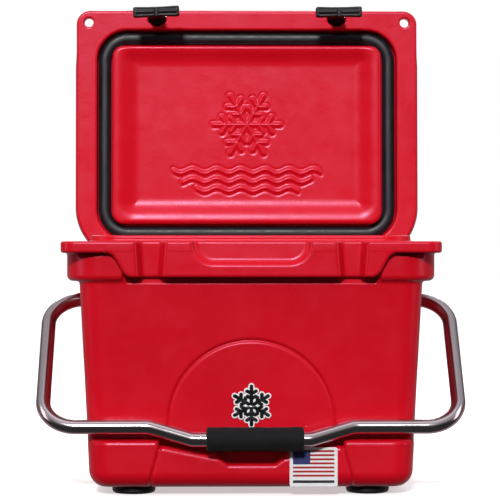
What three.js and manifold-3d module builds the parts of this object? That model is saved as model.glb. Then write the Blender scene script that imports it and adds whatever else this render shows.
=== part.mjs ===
// Hard-sided cooler with its lid open: rotationally moulded box and lid with foam
// cores, a bent steel bail handle with a foam grip, and two rubber T-latches.
// Millimetres. +Z up, -Y is the front, X is the width. The floor is z = 0.
// The box is drawn about its own middle (y = 0), then the whole group is moved by
// SHIFT_Y so that the origin is under the middle of the assembled object.
import * as THREE from 'three';
import { mergeVertices } from 'three/addons/utils/BufferGeometryUtils.js';
import Module from 'manifold-3d';

const wasm = await Module();
wasm.setup();

// ---------------------------------------------------------------- dimensions
const SHIFT_Y = -24.3; // from the box's middle to the object's middle, lid open

const RIM_Z = 302; // parting plane between box and lid
const BODY_BOTTOM = 9.5; // underside of the box, above the feet
const FLANGE = { x: 225.5, front: -165, rear: 160.5, rf: 18, rr: 67, thick: 14 };
const SKIRT = { x: 220, y: 155, rf: 44, rr: 60, z0: 254.5, z1: 290 };
const WALL = { x: 204.6, zx: 253, y: 148.5, zy: 260, draftX: 0.05, draftY: 0.054, r: 26, foot: 18 };
const BUCKET = { xTop: 180.5, yTop: 121.5, xBot: 168.5, yBot: 108, floor: 64, r: 20 };
const LIP = { x: 192.5, y: 133.5, r: 36, height: 7 };
const SKIN = 5; // moulded wall thickness
const FIT = 0.3; // gap between pieces that touch

const APRON_Z = 261; // lower edge of the front apron that the latches hook under
const LATCH_X = 119; // latch centres, either side of the middle
const PIN_Y = -158; // latch pin, closed position
const PIN_Z = 316;

const HINGE_Y = 151; // lid hinge axis
const HINGE_Z = 292;
const KNUCKLE_R = 9.5;
const KNUCKLE_X0 = 96; // lid knuckles, either side
const KNUCKLE_X1 = 146;
const LID_OPEN_DEG = 92;

const LID = { x: 225.5, y: 165, z0: 302.5, z1: 356, earZ: 317, rf: 18, rr: 69, bodyRf: 80, edge: 26 };
const GROOVE = { x: 198.5, y: 139.5, r: 41, z: 316 };
const PLUG = { x: 178, front: -118.5, rear: 118, r: 14, z: 299.5 };
const RECESS = { x: 163.7, front: -112.5, rear: 105.8, depth: 8, slope: 13 };
const GASKET = { xi: 180.8, yi: 121.8, ri: 24, xo: 192.8, yo: 133.8, ro: 36, z0: 309.4, z1: 315.7 };
const LOCK_HOLE = { x: 209.3, y: -149.5, r: 6.1 };

const PIVOT_Z = 229; // handle pivot, at y = 0
const TUBE_R = 8.75;
const TUBE_WALL = 1.5;
const HANDLE_X = 248; // centre line of the handle's arms
const HANDLE_L = 208.2; // pivot to the front bar, in the handle's plane
const HANDLE_DIP = 19.6; // the grip sits this much further out
const HANDLE_DEG = 44.7; // how far the hanging handle points below the horizontal
const GRIP_R = 14.65;
const GRIP_HALF = 57.5;
const GRIP_X = 4; // the foam grip sits a little to one side on the bar

const FOOT = { x: 140.6, y: 100, r: 26, h: 9.2 };
const PORT_R = 10;

// ------------------------------------------------------------------ helpers
function toSolid(geometry) {
  const g = geometry.index ? geometry.toNonIndexed() : geometry.clone();
  const bare = new THREE.BufferGeometry().setAttribute('position', g.getAttribute('position'));
  const merged = mergeVertices(bare, 1e-4);
  return new wasm.Manifold(
    new wasm.Mesh({
      numProp: 3,
      vertProperties: new Float32Array(merged.attributes.position.array),
      triVerts: new Uint32Array(merged.index.array),
    }),
  );
}

function toGeometry(solid) {
  const m = solid.getMesh();
  const n = m.numProp;
  const v = new Float32Array(m.numVert * 3);
  for (let i = 0; i < m.numVert; i++) v.set(m.vertProperties.subarray(i * n, i * n + 3), i * 3);
  const g = new THREE.BufferGeometry();
  g.setAttribute('position', new THREE.BufferAttribute(v, 3));
  g.setIndex(new THREE.BufferAttribute(new Uint32Array(m.triVerts), 1));
  g.computeVertexNormals();
  return g;
}

const join = (...s) => s.reduce((a, b) => a.add(b));
const cut = (a, ...s) => s.reduce((x, y) => x.subtract(y), a);

// rectangle with its own radius at the front (low y) and rear (high y) corners
function roundRect(x0, x1, y0, y1, rf, rr = rf) {
  const s = new THREE.Shape();
  const q = Math.PI / 2;
  s.moveTo(x0 + rf, y0);
  s.lineTo(x1 - rf, y0);
  s.absarc(x1 - rf, y0 + rf, rf, -q, 0, false);
  s.lineTo(x1, y1 - rr);
  s.absarc(x1 - rr, y1 - rr, rr, 0, q, false);
  s.lineTo(x0 + rr, y1);
  s.absarc(x0 + rr, y1 - rr, rr, q, 2 * q, false);
  s.lineTo(x0, y0 + rf);
  s.absarc(x0 + rf, y0 + rf, rf, 2 * q, 3 * q, false);
  return s;
}

function polygon(points) {
  const s = new THREE.Shape();
  points.forEach(([a, b], i) => (i ? s.lineTo(a, b) : s.moveTo(a, b)));
  s.closePath();
  return s;
}

// extrusion between two heights, its ends rounded (or chamfered) by bevel
function extrude(shape, z0, z1, bevel = 0, seg = 2, arc = 5, bevelH = bevel) {
  const g = new THREE.ExtrudeGeometry(shape, {
    depth: z1 - z0 - 2 * bevelH,
    curveSegments: arc,
    steps: 1,
    bevelEnabled: bevel > 0,
    bevelThickness: bevelH,
    bevelSize: bevel,
    bevelOffset: -bevel,
    bevelSegments: seg,
  });
  g.translate(0, 0, z0 + bevelH);
  return g;
}

// a shape drawn in x and z, extruded from y0 to y1
function extrudeY(shape, y0, y1, bevel = 0, seg = 2, arc = 5, bevelH = bevel) {
  const g = extrude(shape, 0, y1 - y0, bevel, seg, arc, bevelH);
  g.rotateX(Math.PI / 2);
  g.translate(0, y1, 0);
  return g;
}

// a shape drawn in y and z, extruded from x0 to x1
function extrudeX(shape, x0, x1, bevel = 0, seg = 2) {
  const g = extrude(shape, x0, x1, bevel, seg);
  g.applyMatrix4(
    new THREE.Matrix4().makeBasis(
      new THREE.Vector3(0, 1, 0),
      new THREE.Vector3(0, 0, 1),
      new THREE.Vector3(1, 0, 0),
    ),
  );
  return g;
}

function box(x0, x1, y0, y1, z0, z1) {
  return toSolid(
    new THREE.BoxGeometry(x1 - x0, y1 - y0, z1 - z0).translate((x0 + x1) / 2, (y0 + y1) / 2, (z0 + z1) / 2),
  );
}
function cylX(r, x0, x1, y, z, seg = 18) {
  return toSolid(new THREE.CylinderGeometry(r, r, x1 - x0, seg).rotateZ(Math.PI / 2).translate((x0 + x1) / 2, y, z));
}
function cylY(r, y0, y1, x, z, seg = 18) {
  return toSolid(new THREE.CylinderGeometry(r, r, y1 - y0, seg).translate(x, (y0 + y1) / 2, z));
}
function cylZ(r, z0, z1, x, y, seg = 18) {
  return toSolid(new THREE.CylinderGeometry(r, r, z1 - z0, seg).rotateX(Math.PI / 2).translate(x, y, (z0 + z1) / 2));
}
function lathe(profile, seg = 18) {
  // profile in (radius, z), closed on the axis or on itself; turned about Z
  const pts = profile.map(([r, z]) => new THREE.Vector2(r, z));
  return new THREE.LatheGeometry(pts, seg).rotateX(Math.PI / 2);
}

// moves every point of a geometry
function warp(g, f) {
  const p = g.getAttribute('position');
  for (let i = 0; i < p.count; i++) {
    const [x, y, z] = f(p.getX(i), p.getY(i), p.getZ(i));
    p.setXYZ(i, x, y, z);
  }
  return g;
}

const wallX = (z) => WALL.x - WALL.draftX * (WALL.zx - z);
const wallY = (z) => WALL.y - WALL.draftY * (WALL.zy - z);
const draftOuter = (x, y, z) => [(x * wallX(z)) / WALL.x, (y * wallY(z)) / WALL.y, z];
const bucketX = (z) => BUCKET.xBot + ((z - BUCKET.floor) * (BUCKET.xTop - BUCKET.xBot)) / (RIM_Z - BUCKET.floor);
const bucketY = (z) => BUCKET.yBot + ((z - BUCKET.floor) * (BUCKET.yTop - BUCKET.yBot)) / (RIM_Z - BUCKET.floor);
const draftBucket = (x, y, z) => [(x * bucketX(z)) / BUCKET.xTop, (y * bucketY(z)) / BUCKET.yTop, z];

// ---------------------------------------------------------------- box shell
// hollow between the outer wall and the bucket; e shrinks it for the foam core
function tubCore(e) {
  const outer = toSolid(
    warp(
      extrude(roundRect(-WALL.x + SKIN + e, WALL.x - SKIN - e, -WALL.y + SKIN + e, WALL.y - SKIN - e, 21), BODY_BOTTOM + SKIN + e, 272 - e, 9, 1, 5),
      draftOuter,
    ),
  );
  const b = SKIN + e;
  const inner = toSolid(
    warp(
      extrude(roundRect(-BUCKET.xTop - b, BUCKET.xTop + b, -BUCKET.yTop - b, BUCKET.yTop + b, BUCKET.r + SKIN), BUCKET.floor - b, 330, 12, 1, 5),
      draftBucket,
    ),
  );
  let s = cut(
    outer,
    inner,
    box(-240, 240, -170, -127 + e, 0, 122 + e), // solid behind the lower front step
    box(-48 - e, 48 + e, -140, -115 + e, 0, 72 + e), // and behind the finger pocket
  );
  for (const side of [-1, 1]) {
    s = cut(s, side < 0 ? cylX(18 + e, -206, -174, 0, PIVOT_Z, 20) : cylX(18 + e, 174, 206, 0, PIVOT_Z, 20));
    for (const y of [-FOOT.y, FOOT.y]) s = cut(s, cylZ(10 + e, 8, 30 + e, side * FOOT.x, y, 16));
  }
  return s;
}

function tubShell() {
  const body = cut(toSolid(
    warp(extrude(roundRect(-WALL.x, WALL.x, -WALL.y, WALL.y, WALL.r), BODY_BOTTOM, 310, WALL.foot, 3), draftOuter),
  ), box(-240, 240, -180, 180, 291, 320));
  const skirt = toSolid(
    extrude(roundRect(-SKIRT.x, SKIRT.x, -SKIRT.y, SKIRT.y, SKIRT.rf, SKIRT.rr), SKIRT.z0, SKIRT.z1 + 6, 6, 2),
  ).intersect(box(-240, 240, -180, 180, 250, SKIRT.z1));
  const neck = toSolid(extrude(roundRect(-211, 211, -149, 152, 38, 52), 270, 290));
  const flange = toSolid(
    extrude(
      roundRect(-FLANGE.x, FLANGE.x, FLANGE.front, FLANGE.rear, FLANGE.rf, FLANGE.rr),
      RIM_Z - FLANGE.thick,
      RIM_Z,
      2.5,
      2,
    ),
  );
  // front apron, drawn in x and z
  const half = [
    [149.5 - 8, APRON_Z],
    [149.5 - 2, APRON_Z + 2],
    [152.5, APRON_Z + 6.5],
    [158.5, 278],
    [163, 285],
    [172, 291],
  ];
  const apronOutline = [...half, ...half.map(([x, z]) => [-x, z]).reverse()];
  const apron = toSolid(extrudeY(polygon(apronOutline), -165, -146, 2, 1));
  const lip = toSolid(extrude(roundRect(-LIP.x, LIP.x, -LIP.y, LIP.y, LIP.r), RIM_Z - 4, RIM_Z + LIP.height, 3, 2));

  // rear rail that carries the hinge, rounded about the hinge axis
  const rail = cylX(KNUCKLE_R, -212, 212, HINGE_Y, HINGE_Z, 20).intersect(
    toSolid(extrude(roundRect(-FLANGE.x, FLANGE.x, FLANGE.front, FLANGE.rear, FLANGE.rf, FLANGE.rr), 280, 304)),
  );
  const railCut = box(-240, 240, HINGE_Y, 175, HINGE_Z, 306);

  // lower front: two corner blocks and a middle block that dips under the grip
  const blockHalf = [
    [200, 5],
    [200, 66],
    [111, 66],
    [108, 60],
    [38, 46],
    [27, 38.5],
  ];
  const blocks = toSolid(
    extrudeY(polygon([...blockHalf.map(([x, z]) => [-x, z]).reverse(), ...blockHalf].reverse()), -160, -126),
  ).intersect(
    toSolid(
      warp(extrude(roundRect(-WALL.x, WALL.x, -147, 130, 28), BODY_BOTTOM, 110, WALL.foot, 3), (x, y, z) => [
        (x * wallX(z)) / WALL.x,
        y,
        z,
      ]),
    ),
  );
  const pocket = toSolid(
    extrudeY(
      polygon([
        [-52, 64],
        [-40, 46.5],
        [-28, 38.7],
        [28, 38.7],
        [40, 46.5],
        [52, 64],
      ].reverse()),
      -152,
      -122,
    ),
  );

  let s = join(body, skirt, neck, flange, apron, lip, blocks);
  s = cut(s, pocket, railCut);
  s = s.add(rail);

  // bucket
  s = cut(
    s,
    toSolid(
      warp(
        extrude(roundRect(-BUCKET.xTop, BUCKET.xTop, -BUCKET.yTop, BUCKET.yTop, BUCKET.r), BUCKET.floor, 340, 14, 2),
        draftBucket,
      ),
    ),
  );

  for (const side of [-1, 1]) {
    const lo = (a, b) => (side < 0 ? -b : a);
    const hi = (a, b) => (side < 0 ? -a : b);
    // latch channel through flange and apron
    const c = side * LATCH_X;
    s = cut(
      s,
      toSolid(
        extrudeY(
          polygon([
            [c - 15.2, 254],
            [c + 15.2, 254],
            [c + 18.4, 306],
            [c - 18.4, 306],
          ]),
          -172,
          -151,
        ),
      ),
      // lock hole, with a shallow pocket under the ear for the shackle
      cylZ(LOCK_HOLE.r, 282, 306, side * LOCK_HOLE.x, LOCK_HOLE.y),
      toSolid(
        extrudeY(
          polygon(
            [
              [171, RIM_Z - FLANGE.thick],
              [178, 285.4],
              [192, 283.6],
              [206, 282.4],
              [214, 282.2],
              [215, RIM_Z - FLANGE.thick],
            ]
              .map(([x, z]) => [side * x, z]),
          ),
          -170,
          -149,
        ),
      ),
      // room for the lid's knuckle
      box(lo(KNUCKLE_X0, KNUCKLE_X1), hi(KNUCKLE_X0, KNUCKLE_X1), 140.5, 175, 281.5, 306),
      // bore for the hinge pin, open at the side
      cylX(3.3, lo(77.6, 222), hi(77.6, 222), HINGE_Y, HINGE_Z, 16),
      cylX(4.8, lo(172, 222), hi(172, 222), HINGE_Y, HINGE_Z, 16),
      // socket for the handle bush
      cylX(13.3, lo(184.3, 215), hi(184.3, 215), 0, PIVOT_Z),
      cylX(15.4, lo(203.2, 215), hi(203.2, 215), 0, PIVOT_Z),
    );
  }
  // space under the apron, where the latch bars tuck in
  s = cut(s, box(-152, 152, -170, -148.7, 248, APRON_Z - 0.3));
  // finger recess in the middle of the rim, its border sloped
  s = cut(s, toSolid(extrudeY(roundRect(-70.6, 70.6, 273.6, 340, 26), -190, -157, 8, 1, 6)));

  // hollow for the foam, its filling port and the feet's screw holes
  s = cut(s, tubCore(0));
  s = cut(s, cylZ(PORT_R + FIT, 5, 16, 0, 0), cylZ(PORT_R + 3.6, 5, BODY_BOTTOM + 2.5, 0, 0));
  for (const x of [-FOOT.x, FOOT.x])
    for (const y of [-FOOT.y, FOOT.y]) s = cut(s, cylZ(2.4, 5, 25, x, y, 12));
  return s;
}

// ---------------------------------------------------------------- lid, closed
function lidCore(e) {
  let s = toSolid(
    extrude(roundRect(-LID.x + SKIN + e, LID.x - SKIN - e, -LID.y + SKIN + e, LID.y - SKIN - e, 75, 65), GROOVE.z + SKIN + e, LID.z1 - SKIN - e, 11, 2, 5),
  );
  s = s.add(toSolid(extrude(roundRect(-168 + e, 168 - e, -108 + e, 102 - e, 10), 312.5 + e, 326, 0, 1, 4)));
  s = s.add(box(-14 + e, 14 - e, 145 + e, 157 - e, 308 + e, 330));
  for (const side of [-1, 1]) s = cut(s, box(side * LATCH_X - 18 - e, side * LATCH_X + 18 + e, -170, -138 + e, 300, 336 + e));
  return s;
}

function lidShell() {
  const plate = toSolid(extrude(roundRect(-LID.x, LID.x, -LID.y, LID.y, LID.rf, LID.rr), LID.z0, LID.earZ, 2.5, 2));
  const upper = cut(
    toSolid(extrude(roundRect(-LID.x, LID.x, -LID.y, LID.y, LID.bodyRf, LID.rr), 250, LID.z1, LID.edge, 4)),
    box(-240, 240, -180, 180, 240, LID.z0 + 3),
  );
  let s = join(plate, upper);
  s = cut(s, toSolid(extrude(roundRect(-GROOVE.x, GROOVE.x, -GROOVE.y, GROOVE.y, GROOVE.r), 290, GROOVE.z)));
  s = s.add(toSolid(extrude(roundRect(-PLUG.x, PLUG.x, PLUG.front, PLUG.rear, PLUG.r), PLUG.z, 330, 5, 2)));
  s = cut(
    s,
    toSolid(
      extrude(
        roundRect(-RECESS.x, RECESS.x, RECESS.front, RECESS.rear, 16),
        270,
        PLUG.z + RECESS.depth,
        RECESS.slope,
        1,
        5,
        RECESS.depth,
      ),
    ),
  );
  for (const side of [-1, 1]) {
    const lo = (a, b) => (side < 0 ? -b : a);
    const hi = (a, b) => (side < 0 ? -a : b);
    const c = side * LATCH_X;
    // pocket for the latch's round head, open to the front and below
    const head = join(
      cylX(13.8, c - 12, c + 12, PIN_Y, PIN_Z, 22),
      box(c - 12, c + 12, -180, PIN_Y, 296, PIN_Z + 13.8),
      box(c - 12, c + 12, PIN_Y - 13.8, PIN_Y + 13.8, 296, PIN_Z),
    );
    s = cut(s, head, cylX(2.8, c - 21, c + 21, PIN_Y, PIN_Z, 14), cylZ(LOCK_HOLE.r, 296, 360, side * LOCK_HOLE.x, LOCK_HOLE.y));
    // hinge knuckle
    const k0 = lo(KNUCKLE_X0 + 0.8, KNUCKLE_X1 - 0.8);
    const k1 = hi(KNUCKLE_X0 + 0.8, KNUCKLE_X1 - 0.8);
    s = join(s, cylX(KNUCKLE_R - 0.2, k0, k1, HINGE_Y, HINGE_Z, 20), box(k0, k1, HINGE_Y - 9.3, HINGE_Y + 9.3, HINGE_Z, LID.z0 + 2));
    s = cut(s, cylX(3.3, k0 - 2, k1 + 2, HINGE_Y, HINGE_Z, 16));
  }
  s = cut(s, lidCore(0));
  s = cut(s, cylY(8 + FIT, 150, 170, 0, 317), cylY(10.8, 163, 170, 0, 317));
  return s;
}

// ------------------------------------------------------------------- handle
const dirY = -Math.cos(THREE.MathUtils.degToRad(HANDLE_DEG));
const dirZ = -Math.sin(THREE.MathUtils.degToRad(HANDLE_DEG));
const inHandlePlane = (u, v) => new THREE.Vector3(u, v * dirY, PIVOT_Z + v * dirZ);

// the tube's centre line, as corners with bend radii, in the handle's plane
function handlePath(endX) {
  const corners = [
    [-endX, 0, 0],
    [-HANDLE_X, 0, 42],
    [-HANDLE_X, HANDLE_L, 40],
    [-121.6, HANDLE_L, 30],
    [-70, HANDLE_L + HANDLE_DIP, 16],
    [70, HANDLE_L + HANDLE_DIP, 16],
    [121.6, HANDLE_L, 30],
    [HANDLE_X, HANDLE_L, 40],
    [HANDLE_X, 0, 42],
    [endX, 0, 0],
  ];
  const path = new THREE.CurvePath();
  let last = new THREE.Vector2(corners[0][0], corners[0][1]);
  const lift = (p) => inHandlePlane(p.x, p.y);
  for (let i = 1; i < corners.length; i++) {
    const c = new THREE.Vector2(corners[i][0], corners[i][1]);
    if (i === corners.length - 1) {
      path.add(new THREE.LineCurve3(lift(last), lift(c)));
      break;
    }
    const prev = new THREE.Vector2(corners[i - 1][0], corners[i - 1][1]);
    const next = new THREE.Vector2(corners[i + 1][0], corners[i + 1][1]);
    const a = prev.clone().sub(c).normalize();
    const b = next.clone().sub(c).normalize();
    const turn = Math.PI - Math.acos(THREE.MathUtils.clamp(a.dot(b), -1, 1));
    const r = corners[i][2];
    const t = r * Math.tan(turn / 2);
    const k = (4 / 3) * Math.tan(turn / 4) * r;
    const p0 = c.clone().addScaledVector(a, t);
    const p3 = c.clone().addScaledVector(b, t);
    const p1 = p0.clone().addScaledVector(a, -k);
    const p2 = p3.clone().addScaledVector(b, -k);
    path.add(new THREE.LineCurve3(lift(last), lift(p0)));
    path.add(new THREE.CubicBezierCurve3(lift(p0), lift(p1), lift(p2), lift(p3)));
    last = p3;
  }
  return path;
}

function tubeAlong(path, radius, sides, steps) {
  const ring = new THREE.Shape();
  for (let i = 0; i < sides; i++) {
    const a = (2 * Math.PI * (i + 0.5)) / sides;
    const p = [radius * Math.cos(a), radius * Math.sin(a)];
    if (i) ring.lineTo(...p);
    else ring.moveTo(...p);
  }
  ring.closePath();
  return toSolid(new THREE.ExtrudeGeometry(ring, { steps, bevelEnabled: false, extrudePath: path }));
}

function handleBail() {
  const outer = tubeAlong(handlePath(187), TUBE_R, 12, 66);
  const inner = tubeAlong(handlePath(185.5), TUBE_R - TUBE_WALL, 8, 66);
  return cut(outer, inner);
}

function handleGrip() {
  // foam sleeve on the straight middle of the bar
  const g = lathe(
    [
      [TUBE_R + 0.45, -GRIP_HALF],
      [GRIP_R - 1.6, -GRIP_HALF],
      [GRIP_R, -GRIP_HALF + 2],
      [GRIP_R, GRIP_HALF - 2],
      [GRIP_R - 1.6, GRIP_HALF],
      [TUBE_R + 0.45, GRIP_HALF],
      [TUBE_R + 0.45, -GRIP_HALF],
    ],
    18,
  );
  g.rotateY(Math.PI / 2);
  const c = inHandlePlane(GRIP_X, HANDLE_L + HANDLE_DIP);
  g.translate(c.x, c.y, c.z);
  return toSolid(g);
}

function handleEndPlug(side) {
  const lo = (a, b) => (side < 0 ? -b : a);
  const hi = (a, b) => (side < 0 ? -a : b);
  return join(cylX(6.4, lo(186.3, 196), hi(186.3, 196), 0, PIVOT_Z, 16), cylX(8.5, lo(185, 186.7), hi(185, 186.7), 0, PIVOT_Z, 16));
}

function handleBush(side) {
  const lo = (a, b) => (side < 0 ? -b : a);
  const hi = (a, b) => (side < 0 ? -a : b);
  return cut(
    join(cylX(13, lo(184.6, 204.5), hi(184.6, 204.5), 0, PIVOT_Z), cylX(15, lo(203.5, 205.6), hi(203.5, 205.6), 0, PIVOT_Z)),
    cylX(TUBE_R + 0.6, lo(180, 210), hi(180, 210), 0, PIVOT_Z),
  );
}

// ------------------------------------------------------------------ latches
function latch(side) {
  const c = side * LATCH_X;
  const head = toSolid(new THREE.SphereGeometry(1, 16, 10).scale(11.5, 13.2, 13.2).translate(c, PIN_Y, PIN_Z));
  const stem = toSolid(extrudeX(roundRect(PIN_Y - 4.5, PIN_Y + 4.5, 250, PIN_Z, 2), c - 9, c + 9, 1.5, 1));
  // pull bar, thinner and lower in its middle
  const waist = (x) => 0.86 + 0.14 * Math.min(1, Math.abs(x - c) / 24);
  const bar = toSolid(
    warp(
      new THREE.BoxGeometry(60, 13.6, 14, 6, 1, 1).translate(c, -156.2, 251.5),
      (x, y, z) => [x, -156.2 + (y + 156.2) * waist(x), z],
    ),
  );
  const trim = toSolid(extrudeY(roundRect(c - 30, c + 30, 244.5, 258.5, 3), -170, -140, 0, 1, 3));
  // the bar's upper rear edge is chamfered where it tucks under the apron
  const chamfer = toSolid(
    extrudeX(
      polygon([
        [-143.4, 248],
        [-143.4, 264.5],
        [-159.9, 264.5],
      ]),
      c - 40,
      c + 40,
    ),
  );
  return cut(join(head, stem, cut(bar.intersect(trim), chamfer)), cylX(2.8, c - 14, c + 14, PIN_Y, PIN_Z, 14));
}

// ------------------------------------------------------------- small pieces
function gasket() {
  return cut(
    toSolid(extrude(roundRect(-GASKET.xo, GASKET.xo, -GASKET.yo, GASKET.yo, GASKET.ro), GASKET.z0, GASKET.z1, 1.6, 2)),
    toSolid(extrude(roundRect(-GASKET.xi, GASKET.xi, -GASKET.yi, GASKET.yi, GASKET.ri), GASKET.z0 - 5, GASKET.z1 + 5)),
  );
}

function foot(x, y) {
  const g = lathe(
    [
      [0, 4],
      [5.6, 4],
      [5.6, 0.6],
      [6.2, 0],
      [22.5, 0],
      [24.8, 1],
      [26, 3.4],
      [26, FOOT.h],
      [0, FOOT.h],
    ],
    20,
  );
  return cut(toSolid(g.translate(x, y, 0)), cylZ(2.4, -1, 12, x, y, 12));
}

function footScrew(x, y) {
  return toSolid(
    lathe(
      [
        [0, 1.2],
        [4.2, 1.2],
        [5, 2],
        [5, 3.7],
        [2.1, 3.7],
        [2.1, 22],
        [0, 23.5],
      ],
      14,
    ).translate(x, y, 0),
  );
}

function fillPlug() {
  return join(
    cylZ(PORT_R + 3.2, BODY_BOTTOM + 0.2, BODY_BOTTOM + 2.2, 0, 0),
    cylZ(PORT_R, BODY_BOTTOM + 1.8, BODY_BOTTOM + 5, 0, 0),
  );
}

function lidFillPlug() {
  return join(cylY(10.4, 163.2, 164.8, 0, 317), cylY(8, 157.6, 163.6, 0, 317));
}

// six-armed snowflake outline, in x and z
function snowflake(cx, cz, r) {
  const pts = [];
  for (let k = 0; k < 6; k++) {
    const a = Math.PI / 6 + (k * Math.PI) / 3;
    const at = (along, across) => [
      cx + along * Math.cos(a) - across * Math.sin(a),
      cz + along * Math.sin(a) + across * Math.cos(a),
    ];
    pts.push(at(0.42 * r, -0.17 * r), at(0.62 * r, -0.36 * r), at(0.78 * r, -0.26 * r), at(r, -0.12 * r));
    pts.push(at(r, 0.12 * r), at(0.78 * r, 0.26 * r), at(0.62 * r, 0.36 * r), at(0.42 * r, 0.17 * r));
  }
  return polygon(pts);
}

// a thin plate lying along the drafted front wall
function badge() {
  const g = extrudeY(snowflake(0, 107, 27), -0.8, 0);
  return toSolid(warp(g, (x, y, z) => [x, y - wallY(z) - FIT, z]));
}

function label() {
  return toSolid(extrudeY(roundRect(45, 102, 11, 58, 2), -147 - FIT - 0.8, -147 - FIT, 0, 1, 3));
}

// ------------------------------------------------------------------ assembly
const root = new THREE.Group();
root.position.set(0, SHIFT_Y, 0);

const paint = {
  red: { color: 0xc8141f, roughness: 0.42, metalness: 0 },
  foam: { color: 0xe8dcb4, roughness: 0.9, metalness: 0 },
  black: { color: 0x16171a, roughness: 0.75, metalness: 0 },
  rubber: { color: 0x1b1c20, roughness: 0.6, metalness: 0 },
  steel: { color: 0xb9b4b2, roughness: 0.28, metalness: 1 },
  white: { color: 0xf2f2f2, roughness: 0.5, metalness: 0 },
  grip: { color: 0x17171a, roughness: 0.9, metalness: 0 },
};

function piece(group, name, solid, look) {
  const mesh = new THREE.Mesh(toGeometry(solid), new THREE.MeshStandardMaterial(paint[look]));
  mesh.name = name;
  group.add(mesh);
  return mesh;
}

const tub = new THREE.Group();
root.add(tub);
piece(tub, 'tub_shell', tubShell(), 'red');
piece(tub, 'tub_foam', tubCore(FIT), 'foam');
piece(tub, 'tub_fill_plug', fillPlug(), 'black');
const corners = { front_left: [-1, -1], front_right: [1, -1], rear_left: [-1, 1], rear_right: [1, 1] };
for (const [where, [sx, sy]] of Object.entries(corners)) {
  piece(tub, 'foot_' + where, foot(sx * FOOT.x, sy * FOOT.y), 'rubber');
  piece(tub, 'foot_screw_' + where, footScrew(sx * FOOT.x, sy * FOOT.y), 'steel');
}
for (const [name, side] of [
  ['left', -1],
  ['right', 1],
]) {
  const lo = (a, b) => (side < 0 ? -b : a);
  const hi = (a, b) => (side < 0 ? -a : b);
  piece(tub, 'handle_bush_' + name, handleBush(side), 'black');
  piece(tub, 'hinge_pin_' + name, cylX(3, lo(78, 171.6), hi(78, 171.6), HINGE_Y, HINGE_Z, 16), 'steel');
  piece(tub, 'hinge_pin_cap_' + name, cylX(4.5, lo(172.4, 176), hi(172.4, 176), HINGE_Y, HINGE_Z, 16), 'black');
}
piece(tub, 'front_badge', badge(), 'white');
piece(tub, 'striped_label', label(), 'white');

// the lid is drawn closed and turned open about its hinge
const lidTurn = new THREE.Group();
lidTurn.position.set(0, HINGE_Y, HINGE_Z);
lidTurn.rotation.x = -THREE.MathUtils.degToRad(LID_OPEN_DEG);
const lid = new THREE.Group();
lid.position.set(0, -HINGE_Y, -HINGE_Z);
lidTurn.add(lid);
root.add(lidTurn);
piece(lid, 'lid_shell', lidShell(), 'red');
piece(lid, 'lid_foam', lidCore(FIT), 'foam');
piece(lid, 'lid_fill_plug', lidFillPlug(), 'black');
piece(lid, 'lid_gasket', gasket(), 'black');
for (const [name, side] of [
  ['left', -1],
  ['right', 1],
]) {
  piece(lid, 'latch_pin_' + name, cylX(2.5, side * LATCH_X - 20.5, side * LATCH_X + 20.5, PIN_Y, PIN_Z, 14), 'steel');
  piece(lid, 'latch_' + name, latch(side), 'rubber');
}

const handle = new THREE.Group();
root.add(handle);
piece(handle, 'handle_bail', handleBail(), 'steel');
piece(handle, 'handle_grip', handleGrip(), 'grip');
piece(handle, 'handle_end_plug_left', handleEndPlug(-1), 'black');
piece(handle, 'handle_end_plug_right', handleEndPlug(1), 'black');

export default root;
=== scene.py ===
"""Looks for the hard-sided cooler: moulded shells as dense smooth meshes, tube, grip,
rubber parts, small hardware, procedural materials, studio and camera."""

import bmesh
import bpy
import math
import numpy as np
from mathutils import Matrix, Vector


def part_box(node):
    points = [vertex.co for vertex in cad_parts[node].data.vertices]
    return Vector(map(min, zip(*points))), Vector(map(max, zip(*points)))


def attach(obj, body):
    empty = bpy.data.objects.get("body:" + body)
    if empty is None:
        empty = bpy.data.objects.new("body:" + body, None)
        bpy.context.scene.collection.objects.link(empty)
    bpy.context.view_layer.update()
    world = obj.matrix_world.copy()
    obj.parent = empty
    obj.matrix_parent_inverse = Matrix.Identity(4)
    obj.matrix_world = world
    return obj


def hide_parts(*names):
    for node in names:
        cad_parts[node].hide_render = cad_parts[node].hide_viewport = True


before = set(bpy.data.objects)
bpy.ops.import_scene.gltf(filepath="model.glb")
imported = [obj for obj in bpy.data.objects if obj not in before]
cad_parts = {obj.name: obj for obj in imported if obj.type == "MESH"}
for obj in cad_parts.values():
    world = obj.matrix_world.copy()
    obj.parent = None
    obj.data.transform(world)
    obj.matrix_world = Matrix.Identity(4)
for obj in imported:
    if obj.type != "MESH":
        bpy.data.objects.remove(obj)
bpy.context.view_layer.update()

# ------------------------------------------------------------------ dimensions
# Shapes are written in millimetres about the box's own middle; OY moves them to the
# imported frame, whose front flange edge is 165 mm in front of that middle.
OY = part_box("tub_shell")[0].y * 1000 + 165.0
RIM, PIVOT_Z = 302.0, 229.0
HINGE_Y, HINGE_Z = 151.0, 292.0
LID_OPEN = math.radians(92)
PIN_Y, PIN_Z, LATCH_X = -158.0, 316.0, 119.0
F4 = np.float32


def place(P, lid=False):
    """design millimetres -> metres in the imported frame; lid parts are drawn closed"""
    P = np.asarray(P, float).reshape(-1, 3)
    x, y, z = P[:, 0], P[:, 1], P[:, 2]
    if lid:
        c, s = math.cos(-LID_OPEN), math.sin(-LID_OPEN)
        dy, dz = y - HINGE_Y, z - HINGE_Z
        y, z = HINGE_Y + dy * c - dz * s, HINGE_Z + dy * s + dz * c
    return np.stack([x, y + OY, z], 1) / 1000.0


def turn(N, lid=False):
    if not lid:
        return N
    c, s = math.cos(-LID_OPEN), math.sin(-LID_OPEN)
    return np.stack([N[:, 0], N[:, 1] * c - N[:, 2] * s, N[:, 1] * s + N[:, 2] * c], 1)


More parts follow.
